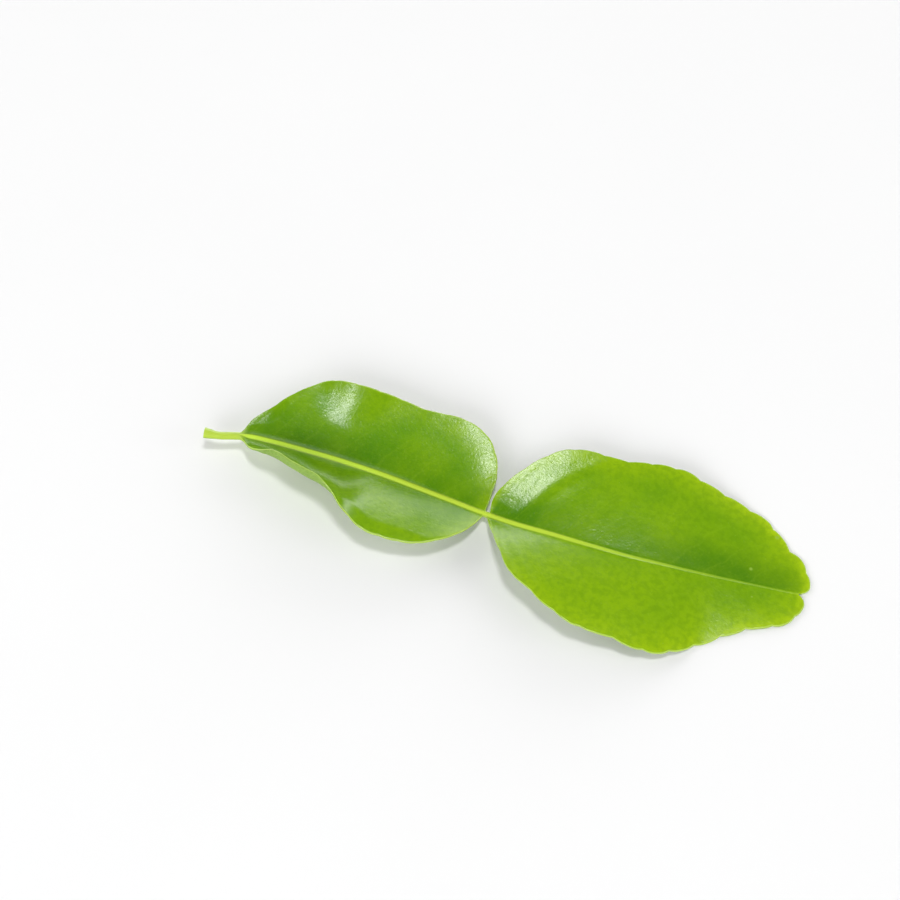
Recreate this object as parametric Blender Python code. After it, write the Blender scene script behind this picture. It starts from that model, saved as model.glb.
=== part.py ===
"""One picked kaffir lime leaf, lying face up on a surface.

The leaf grew as one piece. A short stalk runs into a winged petiole, which narrows to a waist and
opens again into the blade. One midrib runs through all three.

The leaf is drawn flat first: u is the distance along the midrib from the cut end of the stalk, and
v is the distance from the midrib towards the margin. The flat drawing is then laid along the
midrib's own course, folded along it and curled across it. The far half is on the +Y side and the
near half on the -Y side. All sizes are in millimetres until the mesh is made.
"""

import math

import bpy
import numpy as np

MM = 0.001

# Lengths along the midrib
STALK_LENGTH = 7.5
WING_END = 62.5
BLADE_START = 63.5
LAST_ROOT = 129.3
MIDRIB_SPAN = 132.0
MIDRIB_STEP = 0.1

# Thickness and the small sizes of the section
LAMINA_THICKNESS = 0.66
STALK_HALF_WIDTH = 0.82
WAIST_HALF_WIDTH = 0.72
LEAST_LAMINA = 0.05
RIM_STRIP = 0.8
WIDEST_RIM_SHARE = 0.12
FOLD_ROUNDING = 1.4
WEB_START = 6.4
WEB_END = 10.0
STALK_SIDE_ANGLE = 84.0
REST_DEPTH = 0.26

# Course of the midrib: distance along it, sideways place and height
MIDRIB_SIDEWAYS = ((0, -0.5), (3, -0.1), (6, 0.9), (9, 1.8), (14, 2.5), (22, 3.1), (30, 3.4), (38, 3.2),
                   (46, 2.5), (54, 1.5), (62, 0.2), (70, -0.8), (78, -1.2), (86, -1.5), (94, -1.4),
                   (102, -0.7), (110, 0.2), (120, 1.4), (132, 2.6))
MIDRIB_HEIGHT = ((0, 4.6), (7.5, 3.9), (21, 2.4), (34, 1.3), (46, 0.95), (55, 1.3), (63.5, 2.1), (75, 3.3),
                 (86, 3.8), (97, 3.4), (108, 2.25), (114, 1.6), (123, 0.9), (132, 0.5))

# How each half stands: distance along the midrib, degrees of fold at the midrib, and degrees of
# curl for each millimetre towards the margin, both upwards
FAR_SET = ((7, 30, -0.5), (14, 28, -0.4), (24, 25, -0.5), (34, 25, -0.6), (42, 26, -0.5), (50, 24, -0.5),
           (56, 21.5, -0.7), (62, 18, -0.6), (66, 18, -0.5), (70, 15, -0.5), (75, 11.5, -0.5), (80, 9.5, -0.5),
           (85, 7.5, -0.5), (95, 6.5, -0.4), (105, 5, -0.3), (114, 2, -0.3), (124, 0, -0.3), (132, 0, 0.0))
NEAR_SET = ((7, 26, 3.0), (10, 20, 10.0), (14, 14, 12.0), (20, 7, 8.6), (26, -5, 8.2), (32, -3, 5.6),
            (38, 22, 0.4), (45, 25, -0.9), (55, 21, -0.8), (62, 22, -0.4), (66, 27, -0.8), (70, 25, -0.9),
            (75, 20, -0.8), (85, 13, -0.65), (95, 8, -0.6), (104, 3.5, -0.6), (112, -2, -0.55),
            (120, -1.2, -0.4), (132, 0, 0.0))

# Midrib section: distance along it, half width, height of its crest above the upper face and
# depth of its ridge below the lower face
RIB = ((7.5, 0.74, 0.34, 0.85), (20, 0.68, 0.30, 0.85), (40, 0.62, 0.27, 0.75), (60, 0.55, 0.25, 0.65),
       (63, 0.64, 0.30, 0.70), (66, 0.56, 0.26, 0.62), (90, 0.46, 0.20, 0.48), (112, 0.32, 0.12, 0.28),
       (124, 0.20, 0.05, 0.10), (132, 0.16, 0.02, 0.04))
STALK_RADIUS = ((0, 1.15), (0.8, 1.08), (2.2, 0.88), (4.5, STALK_HALF_WIDTH), (11, STALK_HALF_WIDTH))

# Flat outlines of the halves, as crests of the margin without its teeth
WING_BASE = (STALK_LENGTH, STALK_HALF_WIDTH)
WING_TOP = (WING_END, WAIST_HALF_WIDTH)
BLADE_BASE = (BLADE_START, WAIST_HALF_WIDTH)
TIP_NOTCH = (129.9, 0.3)
WING_FAR_EDGE = (WING_BASE, (9.3, 3.6), (12.7, 7.4), (17.5, 12.4), (23.0, 16.3), (28.6, 17.3), (36.3, 16.8),
                 (42.2, 16.4), (50.2, 17.4), (55.3, 16.3), (59.2, 12.9), (61.5, 8.8), (62.2, 5.0), WING_TOP)
WING_NEAR_EDGE = (WING_BASE, (9.5, 3.2), (13.0, 6.8), (17.5, 10.2), (23.0, 13.0), (28.5, 14.3), (34.0, 15.0),
                  (40.8, 17.4), (46.5, 17.3), (51.5, 16.0), (56.5, 13.7), (60.0, 9.9), (61.9, 5.4), WING_TOP)
BLADE_FAR_EDGE = (BLADE_BASE, (63.2, 3.0), (63.7, 5.9), (66.6, 11.6), (70.1, 15.7), (75.3, 19.4), (81.0, 21.1),
                  (88.0, 21.8), (95.0, 22.9), (102.0, 23.0), (108.5, 21.1), (115.0, 18.9), (121.0, 16.1),
                  (124.8, 12.2), (126.5, 10.1), (128.9, 8.2), (130.8, 5.0), (131.4, 1.9), (130.6, 0.6),
                  TIP_NOTCH)
BLADE_NEAR_EDGE = (BLADE_BASE, (65.4, 3.3), (69.2, 8.3), (73.4, 13.7), (77.5, 15.6), (82.3, 17.9), (87.5, 19.8),
                   (94.0, 19.9), (99.5, 20.6), (104.0, 19.8), (109.9, 16.5), (116.0, 12.6), (121.6, 9.8),
                   (126.4, 8.2), (129.4, 5.6), (130.7, 2.6), (130.5, 1.0), TIP_NOTCH)

# Where the ray to a margin point leaves the midrib: share of the margin passed, distance along it
WING_ROOTS = ((0.0, STALK_LENGTH), (0.15, 9.6), (0.3, 15.0), (0.5, 28.0), (0.7, 43.0), (0.85, 54.0),
              (1.0, WING_END))
BLADE_ROOTS = ((0.0, BLADE_START), (0.15, 65.3), (0.3, 69.0), (0.5, 83.0), (0.7, 101.0), (0.85, 116.0),
               (1.0, LAST_ROOT))

# Teeth of the margin: count on each half, rows of points for each, and depth of the notches at the
# start and end of the margin
WING_TEETH = 16
WING_ROWS_PER_TOOTH = 4
WING_TOOTH_DEPTH = (0.06, 0.16)
BLADE_TEETH = 15
BLADE_ROWS_PER_TOOTH = 6
BLADE_TOOTH_DEPTH = (0.10, 0.62)
NOTCH_SHARPNESS = 1.5
TOOTH_FADE = 0.25

# Side veins, raised on the lower face
ROWS_PER_VEIN = 8
VEIN_RELIEF = 0.09

# Fineness of the mesh
OUTLINE_STEPS = 24
STALK_ROWS = (0.0, 0.8, 2.2, 4.0, 5.8, 6.8)
RIB_COLUMNS = (0.0, 0.5, 1.0)
LAMINA_COLUMNS = (0.22, 0.48, 0.76, 1.0)
CRISP_ANGLE = 50.0

# Finish
LEAF_GREEN = (0.17, 0.36, 0.02, 1.0)
LEAF_ROUGHNESS = 0.35

FAR, NEAR = 1, -1


def through(knots, at):
    """Smooth curve through knots: each knot is a place followed by one or more values."""
    knots = np.array(knots, dtype=float)
    place, value = knots[:, 0], knots[:, 1:]
    step = np.diff(place)[:, None]
    rise = np.diff(value, axis=0) / step
    inner = (rise[:-1] * step[1:] + rise[1:] * step[:-1]) / (step[1:] + step[:-1])
    inner = np.where(rise[:-1] * rise[1:] > 0, inner, 0.0)
    slope = np.vstack([rise[:1], inner, rise[-1:]])
    at = np.clip(np.atleast_1d(np.asarray(at, dtype=float)), place[0], place[-1])
    left = np.clip(np.searchsorted(place, at, side="right") - 1, 0, len(place) - 2)
    return between(value[left], value[left + 1], slope[left], slope[left + 1], at - place[left], step[left, 0])


def between(start, end, start_slope, end_slope, passed, width):
    """Points on smooth stretches between two points with given slopes, one for each distance passed."""
    width = np.broadcast_to(width, np.shape(passed))[:, None]
    t = passed[:, None] / width
    hold = (1 + 2 * t) * (1 - t) ** 2 * start + t * t * (3 - 2 * t) * end
    return hold + width * (t * (1 - t) ** 2 * start_slope - t * t * (1 - t) * end_slope)


def outline(points, count):
    """Evenly spaced points on a round curve through the outline's points."""
    points = np.array(points, dtype=float)
    before = np.vstack([2 * points[0] - points[1], points[:-1]])
    after = np.vstack([points[1:], 2 * points[-1] - points[-2]])
    spread = np.linalg.norm(after - points, axis=1) + np.linalg.norm(points - before, axis=1)
    slope = (after - before) / spread[:, None]
    fine = []
    for start, end in zip(range(len(points) - 1), range(1, len(points))):
        gap = np.linalg.norm(points[end] - points[start])
        passed = np.linspace(0, gap, OUTLINE_STEPS, endpoint=False)
        fine.append(between(points[start], points[end], slope[start], slope[end], passed, gap))
    fine = np.vstack(fine + [points[-1:]])
    passed = np.concatenate([[0.0], np.cumsum(np.linalg.norm(np.diff(fine, axis=0), axis=1))])
    wanted = np.linspace(0, passed[-1], count)
    return np.stack([np.interp(wanted, passed, fine[:, k]) for k in (0, 1)], axis=1)


def toothed(points, teeth, depth):
    """Round teeth with narrow notches, cut inwards from the outline."""
    share = np.linspace(0, 1, len(points))
    along = np.gradient(points, axis=0)
    inward = np.stack([along[:, 1], -along[:, 0]], axis=1) / np.linalg.norm(along, axis=1)[:, None]
    cut = (1 - np.abs(np.sin(math.pi * teeth * share))) ** NOTCH_SHARPNESS
    cut *= np.interp(share, (0, 1), depth) * np.sin(math.pi * share) ** TOOTH_FADE
    return points + inward * cut[:, None]


class Course:
    """The midrib as a curve in space, with the directions of the leaf round it."""

    def __init__(self):
        self.along = np.arange(0.0, MIDRIB_SPAN + MIDRIB_STEP / 2, MIDRIB_STEP)
        sideways = through(MIDRIB_SIDEWAYS, self.along)[:, 0]
        height = through(MIDRIB_HEIGHT, self.along)[:, 0]
        ahead = np.sqrt(1 - np.gradient(sideways, MIDRIB_STEP) ** 2 - np.gradient(height, MIDRIB_STEP) ** 2)
        forward = np.concatenate([[0.0], np.cumsum((ahead[1:] + ahead[:-1]) / 2 * MIDRIB_STEP)])
        self.points = np.stack([forward, sideways, height], axis=1)
        self.tangents = np.gradient(self.points, MIDRIB_STEP, axis=0)

    def at(self, u):
        """Point, direction across the leaf and upward direction at distance u."""
        point = np.stack([np.interp(u, self.along, self.points[:, k]) for k in range(3)], axis=-1)
        tangent = np.stack([np.interp(u, self.along, self.tangents[:, k]) for k in range(3)], axis=-1)
        across = np.stack([-tangent[..., 1], tangent[..., 0], np.zeros_like(u)], axis=-1)
        across /= np.linalg.norm(across, axis=-1, keepdims=True)
        upward = np.cross(tangent, across)
        return point, across, upward / np.linalg.norm(upward, axis=-1, keepdims=True)


def arc(length, start_angle, bend):
    """End of an arc, across and up, from its length, first angle and turn for each unit of length."""
    half_turn = bend * length / 2
    chord = length * np.sinc(half_turn / math.pi)
    return chord * np.cos(start_angle + half_turn), chord * np.sin(start_angle + half_turn)


def on_leaf(course, u, v, side):
    """Point in the middle of the leaf's thickness, and the direction out of its upper face."""
    point, across, upward = course.at(u)
    stand = through(FAR_SET if side == FAR else NEAR_SET, u)
    fold, curl = np.radians(stand[:, 0]), np.radians(stand[:, 1])
    inner = np.minimum(v, FOLD_ROUNDING)
    outer = np.maximum(v - FOLD_ROUNDING, 0.0)
    near_x, near_z = arc(inner, 0.0, fold / FOLD_ROUNDING)
    far_x, far_z = arc(outer, fold, curl)
    angle = fold * inner / FOLD_ROUNDING + curl * outer
    middle = point + side * (near_x + far_x)[:, None] * across + (near_z + far_z)[:, None] * upward
    normal = np.cos(angle)[:, None] * upward - side * np.sin(angle)[:, None] * across
    return middle, normal


def rows():
    """Midrib place, far margin point, near margin point and vein share of each row from stalk to tip."""
    result = [(u, (u, STALK_HALF_WIDTH), (u, STALK_HALF_WIDTH), 0.0) for u in STALK_ROWS]
    wing = (WING_FAR_EDGE, WING_NEAR_EDGE, WING_ROOTS, WING_TEETH, WING_ROWS_PER_TOOTH, WING_TOOTH_DEPTH)
    blade = (BLADE_FAR_EDGE, BLADE_NEAR_EDGE, BLADE_ROOTS, BLADE_TEETH, BLADE_ROWS_PER_TOOTH, BLADE_TOOTH_DEPTH)
    for far_edge, near_edge, roots, teeth, rows_per_tooth, depth in (wing, blade):
        count = teeth * rows_per_tooth + 1
        far = toothed(outline(far_edge, count), teeth, depth)
        near = toothed(outline(near_edge, count), teeth, depth)
        root = through(roots, np.linspace(0, 1, count))[:, 0]
        for k in range(count):
            vein = 1.0 if k % ROWS_PER_VEIN == ROWS_PER_VEIN // 2 else 0.0
            result.append((root[k], tuple(far[k]), tuple(near[k]), vein))
    return result


def half_section(course, row, side):
    """Upper and lower points of one half of a row, from the midrib out to the margin."""
    root, far, near, vein = row
    margin = np.array(far if side == FAR else near)
    half_width, crest, ridge = through(RIB, root)[0]
    radius = through(STALK_RADIUS, root)[0, 0]
    start = np.array([root, min(half_width, margin[1] - LEAST_LAMINA)])
    reach = np.linalg.norm(margin - start)
    inside_rim = 1 - min(RIM_STRIP / reach, WIDEST_RIM_SHARE)
    shares = [share * inside_rim for share in LAMINA_COLUMNS] + [1.0]
    flat = [np.array([root, start[1] * share]) for share in RIB_COLUMNS]
    flat += [start + (margin - start) * share for share in shares]
    flat = np.array(flat)
    edge_fade = np.array([0.0] * len(RIB_COLUMNS) + [1 - share for share in shares])
    rib_height = np.sqrt(1 - np.array(list(RIB_COLUMNS) + [1.0] * len(shares)) ** 2)
    up = LAMINA_THICKNESS / 2 + crest * rib_height
    down = LAMINA_THICKNESS / 2 + ridge * rib_height + vein * VEIN_RELIEF * edge_fade
    angle = np.radians(STALK_SIDE_ANGLE) * np.linspace(0, 1, len(flat))
    web = np.clip((flat[:, 0] - WEB_START) / (WEB_END - WEB_START), 0, 1)
    web = web * web * (3 - 2 * web)
    v = flat[:, 1] * web + radius * np.sin(angle) * (1 - web)
    up = up * web + radius * np.cos(angle) * (1 - web)
    down = down * web + radius * np.cos(angle) * (1 - web)
    middle, normal = on_leaf(course, flat[:, 0], v, side)
    return middle + normal * up[:, None], middle - normal * down[:, None]


def build_grid():
    """Upper and lower points of the whole leaf, as grids of rows and columns."""
    course = Course()
    upper, lower = [], []
    for row in rows():
        far_up, far_down = half_section(course, row, FAR)
        near_up, near_down = half_section(course, row, NEAR)
        upper.append(np.vstack([near_up[:0:-1], far_up]))
        lower.append(np.vstack([near_down[:0:-1], far_down]))
    return np.array(upper), np.array(lower)


def settle(upper, lower):
    """Put the leaf on the ground, flatten its low spots and centre it over the origin."""
    ground = lower[..., 2].min() + REST_DEPTH
    lower[..., 2] = np.maximum(lower[..., 2], ground)
    both = np.concatenate([upper.reshape(-1, 3), lower.reshape(-1, 3)])
    centre = (both.min(axis=0) + both.max(axis=0)) / 2
    shift = np.array([centre[0], centre[1], ground])
    return upper - shift, lower - shift


def leaf_faces(row_count, column_count):
    """Triangles of the closed leaf: both faces, the two rims and the two ends."""
    upper = np.arange(row_count * column_count).reshape(row_count, column_count)
    lower = upper + row_count * column_count
    centre, last, end = column_count // 2, column_count - 1, row_count - 1
    faces = []
    for i in range(end):
        for j in range(last):
            corners = ((i, j), (i + 1, j), (i + 1, j + 1), (i, j + 1))
            order = ((0, 1, 2), (0, 2, 3)) if j >= centre else ((1, 2, 3), (1, 3, 0))
            for triple in order:
                faces.append([int(upper[corners[k]]) for k in triple])
                faces.append([int(lower[corners[k]]) for k in reversed(triple)])
    quads = []
    for i in range(end):
        quads.append((upper[i, 0], lower[i, 0], lower[i + 1, 0], upper[i + 1, 0]))
        quads.append((upper[i, last], upper[i + 1, last], lower[i + 1, last], lower[i, last]))
    for j in range(last):
        quads.append((upper[0, j], upper[0, j + 1], lower[0, j + 1], lower[0, j]))
        quads.append((upper[end, j], lower[end, j], lower[end, j + 1], upper[end, j + 1]))
    for quad in quads:
        a, b, c, d = (int(corner) for corner in quad)
        faces.append([a, b, c])
        faces.append([a, c, d])
    return faces


def leaf_material():
    """Glossy green of the living leaf."""
    material = bpy.data.materials.new("leaf")
    material.use_nodes = True
    shader = material.node_tree.nodes["Principled BSDF"]
    shader.inputs["Base Color"].default_value = LEAF_GREEN
    shader.inputs["Roughness"].default_value = LEAF_ROUGHNESS
    return material


def build_leaf():
    """The leaf as one closed object."""
    upper, lower = settle(*build_grid())
    points = np.concatenate([upper.reshape(-1, 3), lower.reshape(-1, 3)]) * MM
    mesh = bpy.data.meshes.new("leaf")
    mesh.from_pydata(points.tolist(), [], leaf_faces(*upper.shape[:2]))
    mesh.validate()
    mesh.materials.append(leaf_material())
    mesh.shade_smooth()
    mesh.set_sharp_from_angle(angle=math.radians(CRISP_ANGLE))
    leaf = bpy.data.objects.new("leaf", mesh)
    bpy.context.collection.objects.link(leaf)
    return leaf


for old in list(bpy.data.objects):
    bpy.data.objects.remove(old)
build_leaf()
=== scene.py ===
"""Dressed kaffir lime leaf: one double leaf with its stalk, lying face up on a pale floor.

The leaf is drawn flat, laid along the course of its midrib, folded and curled in the same way as
the solid of the frame, and given its true thinness, its veins and its living surface. On the flat
leaf, u is the distance along the midrib from the cut end of the stalk and v is the distance from
the midrib towards the margin. Sizes are in millimetres until the mesh is made.
"""

import logging
import math
from dataclasses import dataclass
from enum import Enum

import bpy
import numpy as np
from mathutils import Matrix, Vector


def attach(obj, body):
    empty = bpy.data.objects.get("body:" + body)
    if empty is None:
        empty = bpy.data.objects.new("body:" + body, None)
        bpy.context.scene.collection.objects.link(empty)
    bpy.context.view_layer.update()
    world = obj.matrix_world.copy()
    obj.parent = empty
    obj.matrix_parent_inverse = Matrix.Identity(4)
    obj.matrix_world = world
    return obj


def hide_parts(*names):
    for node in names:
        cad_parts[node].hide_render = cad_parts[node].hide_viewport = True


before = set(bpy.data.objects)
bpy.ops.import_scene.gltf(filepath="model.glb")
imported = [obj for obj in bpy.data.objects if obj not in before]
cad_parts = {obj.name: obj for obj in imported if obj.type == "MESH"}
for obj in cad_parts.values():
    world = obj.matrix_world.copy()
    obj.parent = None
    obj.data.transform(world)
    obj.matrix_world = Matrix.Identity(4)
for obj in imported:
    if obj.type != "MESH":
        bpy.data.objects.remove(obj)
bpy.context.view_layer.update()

MM = 0.001
LOG = logging.getLogger("leaf")

OUTLINE_STEPS = 48

Knots = tuple[tuple[float, ...], ...]
Place = tuple[float, float, float]
Colour = tuple[float, float, float, float]
Socket = bpy.types.NodeSocket
Given = Socket | float | Colour


# Curves

def stretch(t: np.ndarray, first: np.ndarray, last: np.ndarray, leave: np.ndarray,
            arrive: np.ndarray) -> np.ndarray:
    """Run smoothly from one value to another.

    Args:
        t: Shares of the way, from 0 to 1.
        first: Value at the start.
        last: Value at the end.
        leave: Slope at the start, for the whole way.
        arrive: Slope at the end, for the whole way.

    Returns:
        The values at those shares.
    """
    hold = (1 + 2 * t) * (1 - t) ** 2 * first + t * t * (3 - 2 * t) * last
    return hold + (t * (1 - t) ** 2 * leave - t * t * (1 - t) * arrive)


def read_rows(table: np.ndarray, place: np.ndarray, at: np.ndarray) -> np.ndarray:
    """Read a fine table between its rows.

    Args:
        table: The rows.
        place: Place of each row, in rising order.
        at: Places at which it is read.

    Returns:
        One row for each place.
    """
    return np.stack([np.interp(at, place, column) for column in table.T], axis=-1)


def smooth_through(knots: Knots, at: np.ndarray) -> np.ndarray:
    """Read a smooth curve that passes through its knots without overshooting them.

    Args:
        knots: Places in rising order, each followed by one or more values.
        at: Places at which the curve is read.

    Returns:
        One row of values for each place.
    """
    table = np.array(knots, dtype=float)
    place, value = table[:, 0], table[:, 1:]
    step = np.diff(place)[:, None]
    rise = np.diff(value, axis=0) / step
    inner = (rise[:-1] * step[1:] + rise[1:] * step[:-1]) / (step[1:] + step[:-1])
    inner = np.where(rise[:-1] * rise[1:] > 0, inner, 0.0)
    slope = np.vstack([rise[:1], inner, rise[-1:]])
    at = np.clip(np.asarray(at, dtype=float), place[0], place[-1])
    left = np.clip(np.searchsorted(place, at, side="right") - 1, 0, len(place) - 2)
    width = step[left]
    t = (at[:, None] - place[left][:, None]) / width
    return stretch(t, value[left], value[left + 1], width * slope[left], width * slope[left + 1])


def round_outline(points: Knots, count: int) -> np.ndarray:
    """Lay evenly spaced points on a round curve through the points of an outline.

    Args:
        points: Points of the outline.
        count: Number of points wanted.

    Returns:
        The points, one in each row.
    """
    corner = np.array(points, dtype=float)
    before = np.vstack([2 * corner[0] - corner[1], corner[:-1]])
    after = np.vstack([corner[1:], 2 * corner[-1] - corner[-2]])
    spread = np.linalg.norm(after - corner, axis=1) + np.linalg.norm(corner - before, axis=1)
    slope = (after - before) / spread[:, None]
    t = np.linspace(0, 1, OUTLINE_STEPS, endpoint=False)[:, None]
    fine = []
    for first, last, leave, arrive in zip(corner[:-1], corner[1:], slope[:-1], slope[1:]):
        gap = np.linalg.norm(last - first)
        fine.append(stretch(t, first, last, gap * leave, gap * arrive))
    curve = np.vstack(fine + [corner[-1:]])
    passed = np.concatenate([[0.0], np.cumsum(np.linalg.norm(np.diff(curve, axis=0), axis=1))])
    return read_rows(curve, passed, np.linspace(0, passed[-1], count))


def arc_end(length: np.ndarray, start_angle: np.ndarray, bend: np.ndarray) -> tuple[np.ndarray, np.ndarray]:
    """Find where an arc ends.

    Args:
        length: Length of the arc.
        start_angle: Its direction at the start, in radians.
        bend: Its turn for each unit of length, in radians.

    Returns:
        How far it reaches across, and how far up.
    """
    half_turn = bend * length / 2
    chord = length * np.sinc(half_turn / math.pi)
    return chord * np.cos(start_angle + half_turn), chord * np.sin(start_angle + half_turn)


def ease(value: np.ndarray) -> np.ndarray:
    """Turn a share from 0 to 1 into one that starts and ends softly."""
    share = np.clip(value, 0.0, 1.0)
    return share * share * (3 - 2 * share)


# Form of the leaf

class Half(Enum):
    """Halves of the leaf, each with the side of the midrib on which it grows."""

    FAR = 1
    NEAR = -1

    def pick(self, far: Knots, near: Knots) -> Knots:
        """Choose this half's curve out of the two."""
        return far if self is Half.FAR else near


@dataclass(frozen=True)
class Midrib:
    """The midrib as a curve in space: knots of its sideways place and of its height."""

    sideways: Knots = (
        (0, -0.5), (3, -0.1), (6, 0.9), (9, 1.8), (14, 2.5), (22, 3.1), (30, 3.4), (38, 3.2), (46, 2.5),
        (54, 1.5), (62, 0.2), (70, -0.8), (78, -1.2), (86, -1.5), (94, -1.4), (102, -0.7), (110, 0.2),
        (120, 1.4), (132, 2.6),
    )
    height: Knots = (
        (0, 4.6), (7.5, 3.9), (21, 2.4), (34, 1.3), (46, 0.95), (55, 1.3), (63.5, 2.1), (75, 3.3), (86, 3.8),
        (97, 3.4), (108, 2.25), (114, 1.6), (123, 0.9), (132, 0.5),
    )
    length: float = 132.0
    step: float = 0.1

    def at(self, u: np.ndarray) -> tuple[np.ndarray, np.ndarray, np.ndarray]:
        """Read the course of the midrib.

        Args:
            u: Distances along the midrib.

        Returns:
            Points, directions across the leaf and upward directions, one in each row.
        """
        along = np.arange(0.0, self.length + self.step / 2, self.step)
        sideways = smooth_through(self.sideways, along)[:, 0]
        height = smooth_through(self.height, along)[:, 0]
        ahead = np.sqrt(1 - np.gradient(sideways, self.step) ** 2 - np.gradient(height, self.step) ** 2)
        forward = np.concatenate([[0.0], np.cumsum((ahead[1:] + ahead[:-1]) / 2 * self.step)])
        course = np.stack([forward, sideways, height], axis=1)
        point = read_rows(course, along, u)
        tangent = read_rows(np.gradient(course, self.step, axis=0), along, u)
        across = np.stack([-tangent[:, 1], tangent[:, 0], np.zeros(len(tangent))], axis=-1)
        across /= np.linalg.norm(across, axis=-1, keepdims=True)
        upward = np.cross(tangent, across)
        return point, across, upward / np.linalg.norm(upward, axis=-1, keepdims=True)


@dataclass(frozen=True)
class Lobe:
    """A flat lobe of the leaf: the winged petiole or the blade.

    The edges are the crests of the margin without its notches. The roots say where the line to a
    margin point leaves the midrib, by the share of the margin that is passed.
    """

    far_edge: Knots
    near_edge: Knots
    roots: Knots
    teeth: int
    tooth_depth: tuple[float, float]
    rows: int
    veins: float
    notch_sharpness: float = 1.5
    notch_fading: float = 0.25

    def margin(self, half: Half) -> np.ndarray:
        """Draw the toothed margin of one half.

        Args:
            half: Half of the leaf.

        Returns:
            Margin points, one for each row of the lobe.
        """
        points = round_outline(half.pick(self.far_edge, self.near_edge), self.rows)
        share = np.linspace(0, 1, self.rows)
        along = np.gradient(points, axis=0)
        inward = np.stack([along[:, 1], -along[:, 0]], axis=1) / np.linalg.norm(along, axis=1)[:, None]
        cut = (1 - np.abs(np.sin(math.pi * self.teeth * share))) ** self.notch_sharpness
        cut *= np.interp(share, (0, 1), self.tooth_depth) * np.sin(math.pi * share) ** self.notch_fading
        return points + inward * cut[:, None]

    def root(self) -> np.ndarray:
        """Give the place on the midrib from which each row leaves it."""
        return smooth_through(self.roots, np.linspace(0, 1, self.rows))[:, 0]


WINGED_PETIOLE = Lobe(
    far_edge=(
        (7.5, 0.82), (9.3, 3.6), (12.7, 7.4), (17.5, 12.4), (23.0, 16.3), (28.6, 17.3), (36.3, 16.8),
        (42.2, 16.4), (50.2, 17.4), (55.3, 16.3), (59.2, 12.9), (61.5, 8.8), (62.2, 5.0), (62.5, 0.72),
    ),
    near_edge=(
        (7.5, 0.82), (9.5, 3.2), (13.0, 6.8), (17.5, 10.2), (23.0, 13.0), (28.5, 14.3), (34.0, 15.0),
        (40.8, 17.4), (46.5, 17.3), (51.5, 16.0), (56.5, 13.7), (60.0, 9.9), (61.9, 5.4), (62.5, 0.72),
    ),
    roots=((0.0, 7.5), (0.15, 9.6), (0.3, 15.0), (0.5, 28.0), (0.7, 43.0), (0.85, 54.0), (1.0, 62.5)),
    teeth=16,
    tooth_depth=(0.06, 0.16),
    rows=193,
    veins=9.0,
)
BLADE = Lobe(
    far_edge=(
        (63.5, 0.72), (63.2, 3.0), (63.7, 5.9), (66.6, 11.6), (70.1, 15.7), (75.3, 19.4), (81.0, 21.1),
        (88.0, 21.8), (95.0, 22.9), (102.0, 23.0), (108.5, 21.1), (115.0, 18.9), (121.0, 16.1), (124.8, 12.2),
        (126.5, 10.1), (128.9, 8.2), (130.8, 5.0), (131.4, 1.9), (130.6, 0.6), (129.9, 0.3),
    ),
    near_edge=(
        (63.5, 0.72), (65.4, 3.3), (69.2, 8.3), (73.4, 13.7), (77.5, 15.6), (82.3, 17.9), (87.5, 19.8),
        (94.0, 19.9), (99.5, 20.6), (104.0, 19.8), (109.9, 16.5), (116.0, 12.6), (121.6, 9.8), (126.4, 8.2),
        (129.4, 5.6), (130.7, 2.6), (130.5, 1.0), (129.9, 0.3),
    ),
    roots=((0.0, 63.5), (0.15, 65.3), (0.3, 69.0), (0.5, 83.0), (0.7, 101.0), (0.85, 116.0), (1.0, 129.3)),
    teeth=15,
    tooth_depth=(0.10, 0.62),
    rows=241,
    veins=12.0,
)


@dataclass
class Rows:
    """Rows of one half: root on the midrib, margin point and vein phase, one entry for each row."""

    root: np.ndarray
    margin: np.ndarray
    phase: np.ndarray


@dataclass
class Grid:
    """Flat grid of one half, counted from the midrib outwards, with one row for each row of the half.

    It holds the root of each row, and for each point its u and v, the share of the way to the margin
    that is passed, the distance left to the margin, the fullness of the midrib and the vein phase.
    """

    root: np.ndarray
    u: np.ndarray
    v: np.ndarray
    passed: np.ndarray
    left: np.ndarray
    crown: np.ndarray
    phase: np.ndarray


@dataclass
class Sheet:
    """Upper and lower points of the leaf as grids, with what each point knows of the flat leaf."""

    upper: np.ndarray
    lower: np.ndarray
    marks: dict[str, np.ndarray]

    def beside(self, other: "Sheet") -> "Sheet":
        """Join the sheet of the other half, which shares this one's midrib column.

        Args:
            other: Sheet of the other half, counted from the midrib outwards as this one is.

        Returns:
            The joined sheet, from this half's margin to the other's.
        """
        return Sheet(
            np.hstack([self.upper[:, :0:-1], other.upper]),
            np.hstack([self.lower[:, :0:-1], other.lower]),
            {name: np.hstack([grid[:, :0:-1], other.marks[name]]) for name, grid in self.marks.items()},
        )


@dataclass(frozen=True)
class Swell:
    """A low swell or hollow of the lamina, with its middle, its reach and its lean on the flat leaf.

    The middle's v is positive on the far half and negative on the near one. The long reach runs along
    the swell, which leans from the midrib's direction by the given degrees.
    """

    u: float
    v: float
    long_reach: float
    short_reach: float
    lean: float
    height: float

    def lift(self, u: np.ndarray, across: np.ndarray) -> np.ndarray:
        """Give its height at points of the flat leaf.

        Args:
            u: Distances along the midrib.
            across: Distances from the midrib, positive on the far half.

        Returns:
            The heights.
        """
        turn = math.radians(self.lean)
        du, dv = u - self.u, across - self.v
        long_way = (du * math.cos(turn) + dv * math.sin(turn)) / self.long_reach
        short_way = (dv * math.cos(turn) - du * math.sin(turn)) / self.short_reach
        return self.height * np.exp(-(long_way ** 2 + short_way ** 2) / 2)


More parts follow.
